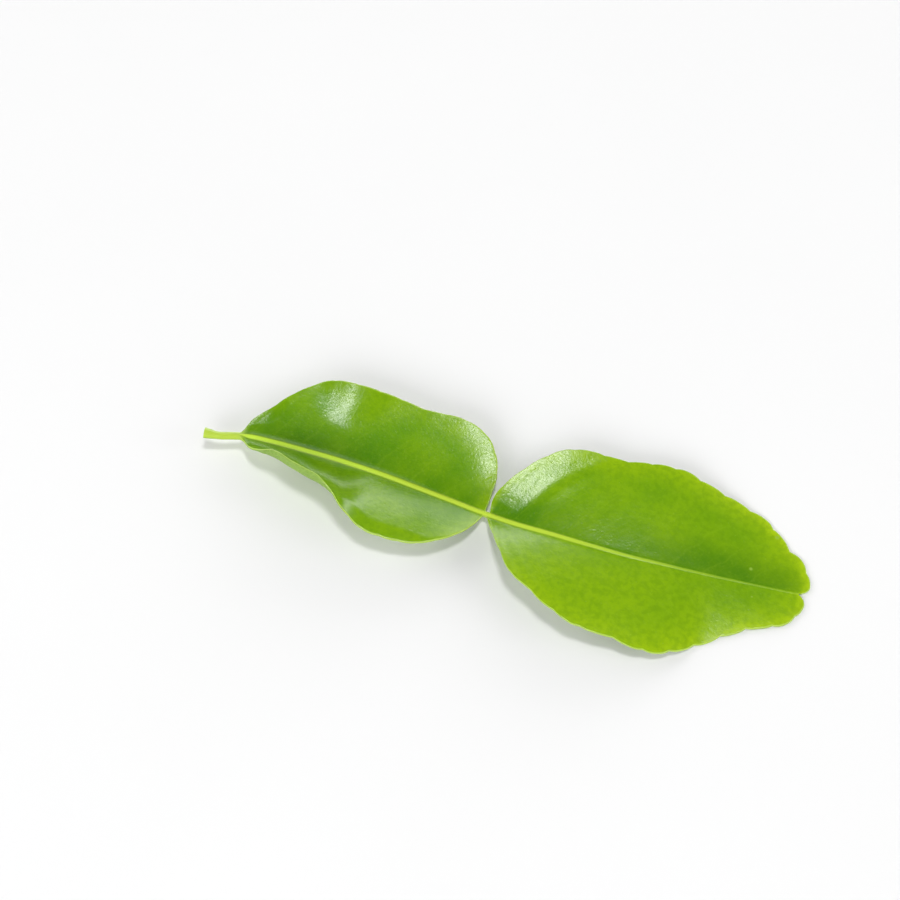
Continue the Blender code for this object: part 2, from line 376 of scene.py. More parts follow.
@dataclass(frozen=True)
class Wave:
    """A wave of the lamina: its turn in radians for each millimetre along and across, and its start."""

    along: float
    sideways: float
    start: float

    def height(self, u: np.ndarray, across: np.ndarray) -> np.ndarray:
        """Give its height at points of the flat leaf, between -1 and 1."""
        return np.sin(self.along * u + self.sideways * across + self.start)


@dataclass(frozen=True)
class Ripples:
    """Two waves of the lamina that cross, and their share of its unevenness."""

    share: float
    first: Wave
    second: Wave

    def lift(self, u: np.ndarray, across: np.ndarray) -> np.ndarray:
        """Give their height at points of the flat leaf, as a share of its unevenness."""
        return self.share * (self.first.height(u, across) * self.second.height(u, across))


@dataclass(frozen=True)
class LeafForm:
    """The whole leaf: its lobes, the stand of its halves and the sizes of its section.

    The knots run along u. A stand is the fold beside the midrib in degrees and the curl in degrees
    for each millimetre. The rib is its half width, its crest above and its ridge below. A shoulder is
    the line along which the sheet turns again: its v, the turn in degrees and the width of the turn.
    The crease at the base of the blade's far half runs along v instead, by its u and its turn. The
    web is the stretch over which the round stalk passes into the sheet, and the calm strip the one
    beside the midrib over which swells and unevenness begin. The columns of points run over the rib,
    the lamina and the rim.
    """

    midrib: Midrib = Midrib()
    lobes: tuple[Lobe, ...] = (WINGED_PETIOLE, BLADE)
    far_stand: Knots = (
        (7, 30, 0.0), (14, 28, -0.2), (24, 25, -0.3), (34, 26, -0.4), (42, 26, -0.5), (50, 24, -0.5),
        (56, 21.5, -0.7), (62, 14, -0.6), (65, 10.5, -0.5), (70, 9.5, -0.5), (75, 9.5, -0.5), (80, 8.5, -0.5),
        (85, 7.5, -0.5), (95, 6.5, -0.4), (105, 5, -0.3), (114, 2, -0.3), (124, 0, -0.3), (132, 0, 0.0),
    )
    near_stand: Knots = (
        (7, 26, 3.0), (10, 20, 10.0), (14, 14, 12.0), (20, 7, 8.6), (26, -5, 8.2), (32, -3, 5.6),
        (38, 22, 0.4), (45, 25, -0.6), (55, 21, -0.5), (62, 22, -0.4), (66, 27, -0.8), (70, 25, -0.9),
        (75, 20, -0.8), (85, 13, -0.65), (95, 8, -0.6), (104, 3.5, -0.6), (112, -2.0, -0.55),
        (120, -1.2, -0.4), (132, 0, 0.0),
    )
    rib: Knots = (
        (7.5, 0.74, 0.16, 0.85), (20, 0.66, 0.14, 0.85), (40, 0.60, 0.18, 0.75), (60, 0.55, 0.18, 0.65),
        (63, 0.64, 0.26, 0.70), (66, 0.54, 0.16, 0.62), (90, 0.44, 0.09, 0.48), (112, 0.32, 0.04, 0.28),
        (124, 0.20, 0.02, 0.10), (132, 0.16, 0.01, 0.04),
    )
    rib_fullness: float = 1.3
    stalk_radius: Knots = ((0, 1.15), (0.8, 1.08), (2.2, 0.88), (4.5, 0.82), (11, 0.82))
    stalk_half_width: float = 0.82
    stalk_length: float = 7.2
    stalk_rows: int = 24
    stalk_side_angle: float = 84.0
    web: tuple[float, float] = (6.4, 10.0)
    fold_rounding: float = 1.4
    rest_depth: float = 0.26
    top_level: float = 0.09
    under_level: float = 0.33
    rim_strip: float = 0.8
    widest_rim_share: float = 0.12
    rim_radius: float = 0.21
    thinnest_rim: float = 0.2
    least_lamina: float = 0.05
    rib_columns: int = 6
    lamina_columns: int = 36
    rim_columns: tuple[float, ...] = (0.3, 0.55, 0.75, 0.88, 0.96, 1.0)
    vein_bow: float = 0.55
    vein_relief: float = 0.09
    vein_width: float = 0.07
    vein_start: float = 20.0
    pillow: float = 0.012
    pillow_start: float = 6.0
    pillow_end: float = 5.0
    unevenness: float = 0.02
    ripples: tuple[Ripples, ...] = (
        Ripples(0.65, Wave(0.47, 0.21, 0.6), Wave(-0.12, 0.39, 1.1)),
        Ripples(0.35, Wave(0.83, -0.55, 2.0), Wave(0.33, 0.61, 0.0)),
    )
    swells: tuple[Swell, ...] = (
        Swell(24.5, 13.0, 7.0, 3.5, 80.0, 0.16),
        Swell(76.8, 11.2, 4.5, 1.2, 52.0, 0.13),
    )
    calm_strip: float = 3.0
    far_shoulder: Knots = (
        (0, 3.0, 0.0, 1.0), (8, 2.2, -12, 1.0), (11, 2.6, -13, 1.0), (13, 3.4, -12, 1.0), (16, 5.5, 0, 1.0),
        (20, 8, 0, 3.0), (24, 6.0, -5, 3.0), (28, 5.5, -9, 3.0), (31.5, 7, -8.5, 3.0), (36, 11, -3, 3.0),
        (40, 12, 0, 3.0), (132, 8, 0, 3.0),
    )
    near_shoulder: Knots = (
        (0, 10.4, 0, 1.0), (31, 10.4, 0, 1.0), (34, 10.6, -12, 1.0), (38, 12.6, -14, 1.0),
        (42, 14.1, -14, 1.0), (45, 13.9, -14, 1.0), (52, 12.9, -14, 1.0), (57, 12.0, -10, 1.0),
        (60, 9.0, 0, 1.0), (132, 8.0, 0, 1.0),
    )
    base_crease: Knots = (
        (0, 64.8, 0.0), (2, 69.3, 11.0), (5, 72.6, 14.0), (8, 74.8, 14.5), (12, 77.6, 15.0),
        (18, 82.5, 15.5), (22, 86.8, 15.5),
    )
    crease_width: float = 3.3
    crease_slope: float = 0.8
    waist: float = 62.99

    def rows(self, half: Half) -> Rows:
        """List the rows of one half from the cut end of the stalk to the tip.

        Args:
            half: Half of the leaf.

        Returns:
            The rows.
        """
        stalk = np.linspace(0.0, self.stalk_length, self.stalk_rows)
        roots, phases = [stalk], [np.zeros(len(stalk))]
        margins = [np.stack([stalk, np.full(len(stalk), self.stalk_half_width)], axis=1)]
        for lobe in self.lobes:
            roots.append(lobe.root())
            margins.append(lobe.margin(half))
            phases.append(np.linspace(0, lobe.veins, lobe.rows))
        return Rows(np.concatenate(roots), np.vstack(margins), np.concatenate(phases))

    def flat_grid(self, half: Half) -> Grid:
        """Lay the flat grid of one half.

        Args:
            half: Half of the leaf.

        Returns:
            The grid.
        """
        rows = self.rows(half)
        root, margin_u, margin_v = rows.root[:, None], rows.margin[:, 0, None], rows.margin[:, 1, None]
        rib_width = smooth_through(self.rib, rows.root)[:, 0, None]
        start = np.minimum(rib_width, margin_v - self.least_lamina)
        reach = np.hypot(margin_u - root, margin_v - start)
        inside = 1 - np.minimum(self.rim_strip / reach, self.widest_rim_share)
        lamina = inside * np.linspace(0, 1, self.lamina_columns + 1)[1:]
        rim = inside + (1 - inside) * np.array(self.rim_columns)
        share = np.hstack([lamina, rim])
        rib_share = np.linspace(0, 1, self.rib_columns)
        passed = np.hstack([np.zeros((len(root), self.rib_columns)), share])
        return Grid(
            root=root,
            u=np.hstack([np.repeat(root, self.rib_columns, axis=1), root + (margin_u - root) * share]),
            v=np.hstack([start * rib_share, start + (margin_v - start) * share]),
            passed=passed,
            left=(1 - passed) * reach,
            crown=np.hstack([(1 - rib_share ** 2) ** self.rib_fullness, np.zeros(share.shape[1])]),
            phase=rows.phase[:, None] - self.vein_bow * passed ** 2,
        )

    def on_leaf(self, u: np.ndarray, v: np.ndarray, half: Half) -> tuple[np.ndarray, np.ndarray]:
        """Lay flat points on the folded and curled leaf.

        Args:
            u: Distances along the midrib.
            v: Distances towards the margin.
            half: Half of the leaf.

        Returns:
            Points on the leaf's middle surface, and directions out of its upper face.
        """
        point, across, upward = self.midrib.at(u)
        stand = smooth_through(half.pick(self.far_stand, self.near_stand), u)
        fold, curl = np.radians(stand[:, 0]), np.radians(stand[:, 1])
        inner = np.minimum(v, self.fold_rounding)
        outer = np.maximum(v - self.fold_rounding, 0.0)
        first_x, first_z = arc_end(inner, np.zeros(len(fold)), fold / self.fold_rounding)
        then_x, then_z = arc_end(outer, fold, curl)
        angle = fold * inner / self.fold_rounding + curl * outer
        side = half.value
        middle = point + side * (first_x + then_x)[:, None] * across + (first_z + then_z)[:, None] * upward
        normal = np.cos(angle)[:, None] * upward - side * np.sin(angle)[:, None] * across
        return middle, normal

    @staticmethod
    def turned(depth: np.ndarray, turn: np.ndarray, width: np.ndarray | float) -> np.ndarray:
        """Give how far a turn of the sheet raises points beyond the line where it starts.

        Args:
            depth: Distances beyond the line.
            turn: Turns in degrees.
            width: Widths over which the sheet turns.

        Returns:
            The heights.
        """
        passed = np.maximum(depth / width, 0.0)
        return np.radians(turn) * np.where(passed < 1, passed ** 3 - passed ** 4 / 2, passed - 0.5) * width

    def crease_lift(self, grid: Grid) -> np.ndarray:
        """Give how far the oblique crease at the base of the blade raises points of the far half.

        Args:
            grid: Flat grid of the far half.

        Returns:
            The heights.
        """
        crease = smooth_through(self.base_crease, grid.v.ravel())
        place, turn = (column.reshape(grid.v.shape) for column in crease.T)
        lift = self.turned(self.crease_slope * (place - grid.u), turn, self.crease_width)
        return lift * (grid.root >= self.waist)

    def form_lift(self, grid: Grid, half: Half) -> np.ndarray:
        """Give how far the swells and the shoulder of a half raise its points.

        Args:
            grid: Flat grid of the half.
            half: Half of the leaf.

        Returns:
            The heights.
        """
        shoulder = smooth_through(half.pick(self.far_shoulder, self.near_shoulder), grid.u.ravel())
        place, turn, width = (column.reshape(grid.u.shape) for column in shoulder.T)
        lift = self.turned(grid.v - place, turn, width)
        for swell in self.swells:
            lift = lift + swell.lift(grid.u, half.value * grid.v) * ease(grid.v / self.calm_strip)
        return lift

    def lift(self, grid: Grid, half: Half) -> np.ndarray:
        """Give how far the finer forms raise the sheet of a half.

        Args:
            grid: Flat grid of the half.
            half: Half of the leaf.

        Returns:
            The heights.
        """
        uneven = sum(ripples.lift(grid.u, half.value * grid.v) for ripples in self.ripples)
        lift = self.unevenness * uneven * np.clip(grid.v / self.calm_strip, 0, 1)
        start = np.clip(grid.passed * self.pillow_start, 0, 1)
        end = np.clip((1 - grid.passed) * self.pillow_end, 0, 1)
        lift = lift + self.pillow * np.cos(2 * math.pi * (grid.phase - 0.5)) * -(start * end)
        lift = lift + self.form_lift(grid, half)
        if half is Half.FAR:
            lift = lift + self.crease_lift(grid)
        return lift

    def section(self, grid: Grid, half: Half) -> tuple[np.ndarray, np.ndarray]:
        """Give how far the faces of a half stand off its middle surface.

        Args:
            grid: Flat grid of the half.
            half: Half of the leaf.

        Returns:
            Distances of the upper face and of the under face.
        """
        crest, ridge = (column[:, None] for column in smooth_through(self.rib, grid.root[:, 0])[:, 1:].T)
        to_vein = np.abs(grid.phase - np.floor(grid.phase) - 0.5)
        vein = np.exp(-(to_vein / self.vein_width) ** 2) * (1 - grid.passed)
        vein = vein * np.clip(grid.passed * self.vein_start, 0, 1)
        round_off = np.clip(1 - grid.left / self.rim_radius, 0, 1)
        rim_fill = np.maximum(np.sqrt(1 - round_off ** 2), self.thinnest_rim)
        middle_level = (self.under_level - self.top_level) / 2
        half_thickness = (self.under_level + self.top_level) / 2 * rim_fill
        lift = self.lift(grid, half)
        up = half_thickness - middle_level + crest * grid.crown + lift
        down = half_thickness + middle_level + ridge * grid.crown + self.vein_relief * vein - lift
        return up, down

    def half_sheet(self, half: Half) -> Sheet:
        """Build one half from the midrib out to the margin, and round it off into the stalk.

        Args:
            half: Half of the leaf.

        Returns:
            Its sheet, with one row for each row of the half.
        """
        grid = self.flat_grid(half)
        up, down = self.section(grid, half)
        radius = smooth_through(self.stalk_radius, grid.root[:, 0])
        angle = math.radians(self.stalk_side_angle) * np.linspace(0, 1, grid.u.shape[1])
        web = ease((grid.u - self.web[0]) / (self.web[1] - self.web[0]))
        v_bent = grid.v * web + radius * np.sin(angle) * (1 - web)
        up = up * web + radius * np.cos(angle) * (1 - web)
        down = down * web + radius * np.cos(angle) * (1 - web)
        middle, normal = self.on_leaf(grid.u.ravel(), v_bent.ravel(), half)
        shape = (*grid.u.shape, 3)
        return Sheet(
            (middle + normal * up.reshape(-1, 1)).reshape(shape),
            (middle - normal * down.reshape(-1, 1)).reshape(shape),
            {
                "along": grid.u,
                "across": half.value * grid.v,
                "margin": grid.left,
                "reach": grid.passed,
                "phase": grid.phase,
            },
        )

    def sheet(self) -> Sheet:
        """Build both halves, and set the leaf on the ground over the origin.

        Returns:
            The sheet of the whole leaf, from the near margin to the far one.
        """
        whole = self.half_sheet(Half.NEAR).beside(self.half_sheet(Half.FAR))
        ground = whole.lower[..., 2].min() + self.rest_depth
        whole.lower[..., 2] = np.maximum(whole.lower[..., 2], ground)
        both = np.concatenate([whole.upper.reshape(-1, 3), whole.lower.reshape(-1, 3)])
        centre = (both.min(axis=0) + both.max(axis=0)) / 2
        shift = np.array([centre[0], centre[1], ground])
        return Sheet(whole.upper - shift, whole.lower - shift, whole.marks)


# Node trees

@dataclass(frozen=True)
class Fade:
    """A soft change from one value to another while a measure rises from its start to its end."""

    start: float
    end: float
    first: float = 0.0
    last: float = 1.0

    def spread(self, size: float) -> "Fade":
        """Stretch the measure's start and end to the given size."""
        return Fade(self.start * size, self.end * size, self.first, self.last)


class CellDistance(Enum):
    """Distances that a pattern of cells can give."""

    TO_MIDDLE = "F1"
    TO_EDGE = "DISTANCE_TO_EDGE"


class Tree:
    """A node tree that is being filled, with short calls for the nodes used here.

    A given value is a socket to link, or a number or a colour to set. Among the sockets of a Mix
    node, its colours have the numbers below.
    """

    mix_inputs: tuple[int, int] = (6, 7)
    mix_output: int = 2

    def __init__(self, tree: bpy.types.NodeTree) -> None:
        """Keep the tree."""
        self.tree = tree

    def add(self, kind: str, **settings: object) -> bpy.types.Node:
        """Add a node.

        Args:
            kind: Type name of the node.
            **settings: Attributes of the node to set.

        Returns:
            The node.
        """
        node = self.tree.nodes.new(kind)
        for name, value in settings.items():
            setattr(node, name, value)
        return node

    def put(self, socket: Socket, value: Given) -> None:
        """Feed a socket.

        Args:
            socket: The socket.
            value: What it is given.
        """
        if isinstance(value, Socket):
            self.tree.links.new(value, socket)
        else:
            socket.default_value = value

    def fill(self, node: bpy.types.Node, **values: Given) -> None:
        """Feed the inputs of a node.

        Args:
            node: The node.
            **values: What each input is given, by its name with underscores for spaces.
        """
        for name, value in values.items():
            self.put(node.inputs[name.replace("_", " ")], value)

    def maths(self, operation: str, first: Given, second: Given = 0.0, third: Given = 0.0) -> Socket:
        """Add a maths node.

        Args:
            operation: Its operation.
            first: First value.
            second: Second value.
            third: Third value.

        Returns:
            Its result.
        """
        node = self.add("ShaderNodeMath", operation=operation)
        for socket, value in zip(node.inputs, (first, second, third)):
            self.put(socket, value)
        return node.outputs[0]

    def times(self, first: Given, second: Given) -> Socket:
        """Multiply two values."""
        return self.maths("MULTIPLY", first, second)

    def ramp(self, value: Given, low: Given, high: Given, out_low: float = 0.0,
             out_high: float = 1.0) -> Socket:
        """Turn a value softly into another range.

        Args:
            value: Value to read.
            low: Where the turn starts.
            high: Where it ends, above its start.
            out_low: Result up to the start.
            out_high: Result from the end.

        Returns:
            The result.
        """
        node = self.add("ShaderNodeMapRange", interpolation_type="SMOOTHSTEP")
        self.fill(node, Value=value, From_Min=low, From_Max=high, To_Min=out_low, To_Max=out_high)
        return node.outputs["Result"]

    def fade(self, measure: Given, fade: Fade) -> Socket:
        """Let a value fade along a measure."""
        return self.ramp(measure, fade.start, fade.end, fade.first, fade.last)

    def fades(self, first: tuple[Given, Fade], second: tuple[Given, Fade]) -> Socket:
        """Multiply two fades, each given with its measure."""
        return self.times(self.fade(*first), self.fade(*second))

    def blend(self, share: Given, first: Given, second: Given) -> Socket:
        """Blend two colours.

        Args:
            share: Share of the second colour.
            first: First colour.
            second: Second colour.

        Returns:
            The blended colour.
        """
        node = self.add("ShaderNodeMix", data_type="RGBA")
        self.put(node.inputs["Factor"], share)
        for number, colour in zip(self.mix_inputs, (first, second)):
            self.put(node.inputs[number], colour)
        return node.outputs[self.mix_output]

    def layers(self, ground: Given, *layers: tuple[Given, Given]) -> Socket:
        """Lay colours over one another.

        Args:
            ground: Lowest colour.
            *layers: Share and colour of each layer, from the lowest one up.

        Returns:
            The colour that shows.
        """
        for share, colour in layers:
            ground = self.blend(share, ground, colour)
        return ground

    def mark(self, name: str) -> Socket:
        """Read a measure of the flat leaf from the mesh."""
        return self.add("ShaderNodeAttribute", attribute_name=name).outputs["Fac"]

    def noise(self, vector: Given, scale: Given, detail: float, roughness: float = 0.5) -> Socket:
        """Add a noise.

        Args:
            vector: Place at which it is read.
            scale: Its fineness, for each metre.
            detail: How many finer layers it has.
            roughness: How strong they are.

        Returns:
            Its value, about 0.5 on average.
        """
        node = self.add("ShaderNodeTexNoise")
        self.fill(node, Vector=vector, Scale=scale, Detail=detail, Roughness=roughness)
        return node.outputs["Fac"]

    def cells(self, vector: Given, scale: Given, distance: CellDistance) -> Socket:
        """Add a pattern of cells.

        Args:
            vector: Place at which it is read.
            scale: Its fineness, for each metre.
            distance: Which distance it gives.

        Returns:
            The distance.
        """
        node = self.add("ShaderNodeTexVoronoi", feature=distance.value)
        self.fill(node, Vector=vector, Scale=scale)
        return node.outputs["Distance"]

    def group(self, tree: bpy.types.NodeTree, **values: Given) -> bpy.types.NodeOutputs:
        """Place a node group.

        Args:
            tree: The group's tree.
            **values: What each input is given, by its name with underscores for spaces.

        Returns:
            The outputs of the group's node.
        """
        node = self.add("ShaderNodeGroup", node_tree=tree)
        self.fill(node, **values)
        return node.outputs


class GroupTree(Tree):
    """The tree of a new node group, which reads the place and some numbers, and gives numbers."""

    def __init__(self, name: str, inputs: tuple[str, ...], outputs: tuple[str, ...]) -> None:
        """Start the group.

        Args:
            name: Name of the group.
            inputs: Names of the numbers that it reads besides its Vector.
            outputs: Names of the numbers that it gives.
        """
        super().__init__(bpy.data.node_groups.new(name, "ShaderNodeTree"))
        sockets = [("Vector", "INPUT", "NodeSocketVector")]
        sockets += [(socket, "INPUT", "NodeSocketFloat") for socket in inputs]
        sockets += [(socket, "OUTPUT", "NodeSocketFloat") for socket in outputs]
        for socket, direction, kind in sockets:
            self.tree.interface.new_socket(name=socket, in_out=direction, socket_type=kind)
        self.given = self.add("NodeGroupInput").outputs
        self.result = self.add("NodeGroupOutput")


class MaterialTree(Tree):
    """The tree of a new material, with its shader and the place on the piece."""

    def __init__(self, name: str) -> None:
        """Start the material.

        Args:
            name: Name of the material.
        """
        self.material = bpy.data.materials.new(name)
        self.material.use_nodes = True
        super().__init__(self.material.node_tree)
        self.shader = self.tree.nodes["Principled BSDF"]
        self.place = self.add("ShaderNodeTexCoord").outputs["Object"]


# Shared effects

@dataclass(frozen=True)
class SkinGrain:
    """The fine grain of the skin: its uneven surface and its oil glands."""

    fine_detail: float = 3.0
    fine_roughness: float = 0.6
    fine_share: float = 0.5
    broad_scale: float = 0.3
    broad_detail: float = 2.0
    broad_share: float = 0.7
    gland_edge: Fade = Fade(0.12, 0.34, 1.0, 0.0)
    gland_share: float = -0.18

    def build(self) -> bpy.types.NodeTree:
        """Build the node group.

        Returns:
            The group's tree.
        """
        sketch = GroupTree("leaf skin grain", ("Fineness", "Gland Spacing"), ("Height", "Glands", "Grain"))
        place, fineness = sketch.given["Vector"], sketch.given["Fineness"]
        fine = sketch.noise(place, fineness, self.fine_detail, self.fine_roughness)
        broad = sketch.noise(place, sketch.times(fineness, self.broad_scale), self.broad_detail)
        gland_scale = sketch.maths("DIVIDE", 1.0, sketch.given["Gland Spacing"])
        gland = sketch.fade(sketch.cells(place, gland_scale, CellDistance.TO_MIDDLE), self.gland_edge)
        height = sketch.maths("MULTIPLY_ADD", fine, self.fine_share, sketch.times(broad, self.broad_share))
        height = sketch.maths("MULTIPLY_ADD", gland, self.gland_share, height)
        sketch.fill(sketch.result, Height=height, Glands=gland, Grain=fine)
        return sketch.tree


@dataclass(frozen=True)
class SideVeins:
    """The side veins, the minor ones between them and the net that joins them."""

    wander_scale: float = 190.0
    wander_detail: float = 2.0
    wander: float = 0.5
    thinning: Fade = Fade(0.0, 1.0, 1.0, 0.35)
    ending: Fade = Fade(0.7, 0.97, 1.0, 0.0)
    minor_rate: float = 2.0
    minor_width: float = 1.1
    minor_strength: float = 0.45
    net_scale: float = 640.0
    net_edge: Fade = Fade(0.0, 0.11, 1.0, 0.0)

    @staticmethod
    def off_vein(sketch: Tree, phase: Socket) -> Socket:
        """Measure how far a phase is from the nearest vein's, which is halfway through each round."""
        return sketch.maths("ABSOLUTE", sketch.maths("SUBTRACT", sketch.maths("FRACT", phase), 0.5))

    def build(self) -> bpy.types.NodeTree:
        """Build the node group.

        Returns:
            The group's tree.
        """
        sketch = GroupTree("leaf veins", ("Phase", "Reach", "Width"), ("Veins", "Net"))
        place, reach = sketch.given["Vector"], sketch.given["Reach"]
        wander = sketch.noise(place, self.wander_scale, self.wander_detail)
        wander = sketch.maths("MULTIPLY_ADD", wander, self.wander, -self.wander / 2)
        phase = sketch.maths("ADD", sketch.given["Phase"], wander)
        width = sketch.times(sketch.given["Width"], sketch.fade(reach, self.thinning))
        main_vein = sketch.maths("SUBTRACT", 1.0, sketch.ramp(self.off_vein(sketch, phase), 0.0, width))
        main_vein = sketch.times(main_vein, sketch.fade(reach, self.ending))
        off_minor = self.off_vein(sketch, sketch.times(phase, self.minor_rate))
        minor_width = sketch.times(width, self.minor_width)
        minor_vein = sketch.ramp(off_minor, 0.0, minor_width, self.minor_strength, 0.0)
        net = sketch.fade(sketch.cells(place, self.net_scale, CellDistance.TO_EDGE), self.net_edge)
        sketch.fill(sketch.result, Veins=sketch.maths("MAXIMUM", main_vein, minor_vein), Net=net)
        return sketch.tree


@dataclass(frozen=True)
class Mottle:
    """The uneven depth of the green: slow patches and small specks."""

    detail: float = 3.0
    patch_roughness: float = 0.55
    patch_edge: Fade = Fade(0.3, 0.7)
    speck_scale: float = 8.0
    speck_roughness: float = 0.6
    speck_edge: Fade = Fade(0.35, 0.68)

    def build(self) -> bpy.types.NodeTree:
        """Build the node group.

        Returns:
            The group's tree.
        """
        sketch = GroupTree("leaf mottle", ("Patch Scale",), ("Patches", "Specks"))
        place, scale = sketch.given["Vector"], sketch.given["Patch Scale"]
        patches = sketch.noise(place, scale, self.detail, self.patch_roughness)
        fine_scale = sketch.times(scale, self.speck_scale)
        specks = sketch.noise(place, fine_scale, self.detail, self.speck_roughness)
        patches, specks = sketch.fade(patches, self.patch_edge), sketch.fade(specks, self.speck_edge)
        sketch.fill(sketch.result, Patches=patches, Specks=specks)
        return sketch.tree


@dataclass
class LeafEffects:
    """Node groups that the finishes of the leaf share."""

    grain: bpy.types.NodeTree
    veins: bpy.types.NodeTree
    mottle: bpy.types.NodeTree

    @classmethod
    def build(cls) -> "LeafEffects":
        """Build the groups."""
        return cls(SkinGrain().build(), SideVeins().build(), Mottle().build())


@dataclass(frozen=True)
class Skin:
    """Grain and gloss of a face.

    The patches and the fineness of the grain are for each metre, the rest of the sizes in metres.
    """

    patch_scale: float
    fineness: float
    gland_spacing: float
    roughness: float
    roughness_change: float
    bump_strength: float
    bump_depth: float
    refraction: float


class SkinTree(MaterialTree):
    """The tree of a new material of the leaf, with its mottle and its grain."""

    def __init__(self, name: str, skin: Skin, effects: LeafEffects) -> None:
        """Start the material.

        Args:
            name: Name of the material.
            skin: Grain and gloss of the face.
            effects: Node groups of the leaf.
        """
        super().__init__(name)
        self.skin, self.effects = skin, effects
        self.mottle = self.group(effects.mottle, Vector=self.place, Patch_Scale=skin.patch_scale)
        self.grain = self.group(
            effects.grain, Vector=self.place, Fineness=skin.fineness, Gland_Spacing=skin.gland_spacing)

    def side_veins(self, width: float) -> bpy.types.NodeOutputs:
        """Place the side veins.

        Args:
            width: Half their width, as a share of the gap between them.

        Returns:
            The outputs of their group.
        """
        phase, reach = self.mark("phase"), self.mark("reach")
        return self.group(self.effects.veins, Vector=self.place, Phase=phase, Reach=reach, Width=width)

    def worn(self) -> Socket:
        """Vary the roughness of the skin with its grain."""
        change = self.skin.roughness_change
        return self.maths("MULTIPLY_ADD", self.grain["Grain"], change, self.skin.roughness - change / 2)

    def finish(self, colour: Socket, roughness: Socket, relief: Socket) -> bpy.types.Material:
        """Feed the shader.

        Args:
            colour: Colour of the face.
            roughness: Its roughness.
            relief: Height of its relief.

        Returns:
            The material.
        """
        bump = self.add("ShaderNodeBump")
        self.fill(bump, Strength=self.skin.bump_strength, Distance=self.skin.bump_depth, Height=relief)
        self.fill(self.shader, Base_Color=colour, Roughness=roughness, Normal=bump.outputs["Normal"],
                  IOR=self.skin.refraction)
        return self.material


# Finishes

@dataclass(frozen=True)
class PaleSpot:
    """A small pale spot, with its middle on the flat leaf and its radius. One of them is a painted highlight.
    """

    along: float
    across: float
    radius: float


